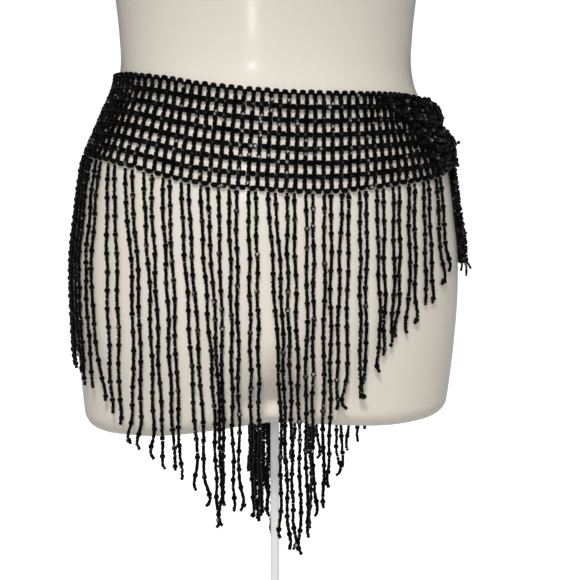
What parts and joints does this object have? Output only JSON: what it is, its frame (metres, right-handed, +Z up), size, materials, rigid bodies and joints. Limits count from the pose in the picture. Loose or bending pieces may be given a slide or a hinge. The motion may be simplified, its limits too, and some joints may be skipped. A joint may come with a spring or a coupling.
{
  "type": "beaded belly dance hip belt on a dress form",
  "caption": "Black beaded net hip belt with a long pointed bead fringe, tied at one hip of a limbless hip dress form on a round stand.",
  "frame": {"origin": "on the base plate's underside, on the floor under the form's axis; the plate's middle and the pole stand 8 mm from it towards +X", "axes": "+Z up; the form faces -Y; +X is towards the hip where the belt is tied"},
  "size_m": [0.3691, 0.3, 0.662],
  "materials": {
    "form_gloss": "glossy cream",
    "stand_white": "white paint",
    "bead_black": "strung black beads with a soft gloss"
  },
  "bodies": {
    "root": {"hip_form": "form_gloss", "stand_base": "stand_white", "stand_pole": "stand_white", "net_band": "bead_black", "fringe_front": "bead_black", "fringe_back": "bead_black", "knot": "bead_black", "knot_tuft": "bead_black", "tie_long": "bead_black", "tie_short": "bead_black"}
  },
  "joints": []
}
